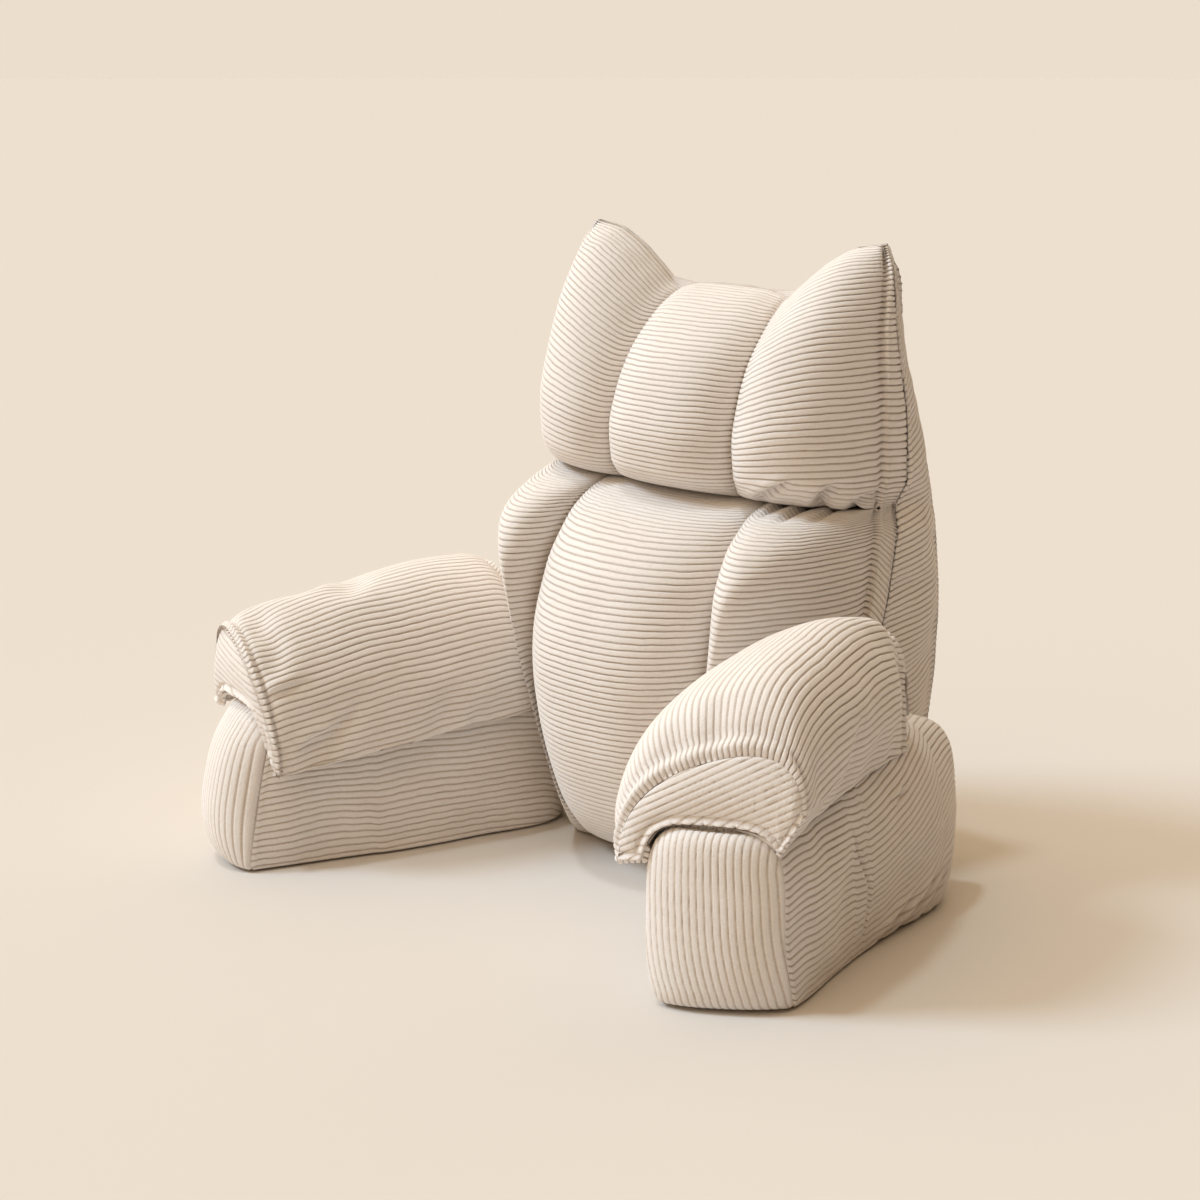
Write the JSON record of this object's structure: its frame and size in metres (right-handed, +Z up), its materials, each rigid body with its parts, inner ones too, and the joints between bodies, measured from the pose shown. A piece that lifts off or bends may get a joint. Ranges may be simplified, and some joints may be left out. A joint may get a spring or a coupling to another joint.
{
  "type": "reading pillow with arms",
  "caption": "Upright wedge-backed reading pillow in wide-wale corduroy, with a channelled lumbar and head cushion, pointed top corners, and two arm bolsters topped with half-moon pads.",
  "frame": {"origin": "on the resting surface, at the middle of the wedge's flat base", "axes": "+Z up, -Y towards the sitter's side, +X towards the pillow's right-hand arm seen from the front"},
  "size_m": [0.7341, 0.5253, 0.6187],
  "materials": {
    "corduroy": "soft cut-pile corduroy with wide rounded wales, cream, matte"
  },
  "bodies": {
    "root": {"back_wedge": "corduroy", "lumbar_cushion": "corduroy", "head_cushion": "corduroy", "arm_bolster_left": "corduroy", "arm_bolster_right": "corduroy", "arm_pad_left": "corduroy", "arm_pad_right": "corduroy"}
  },
  "joints": []
}
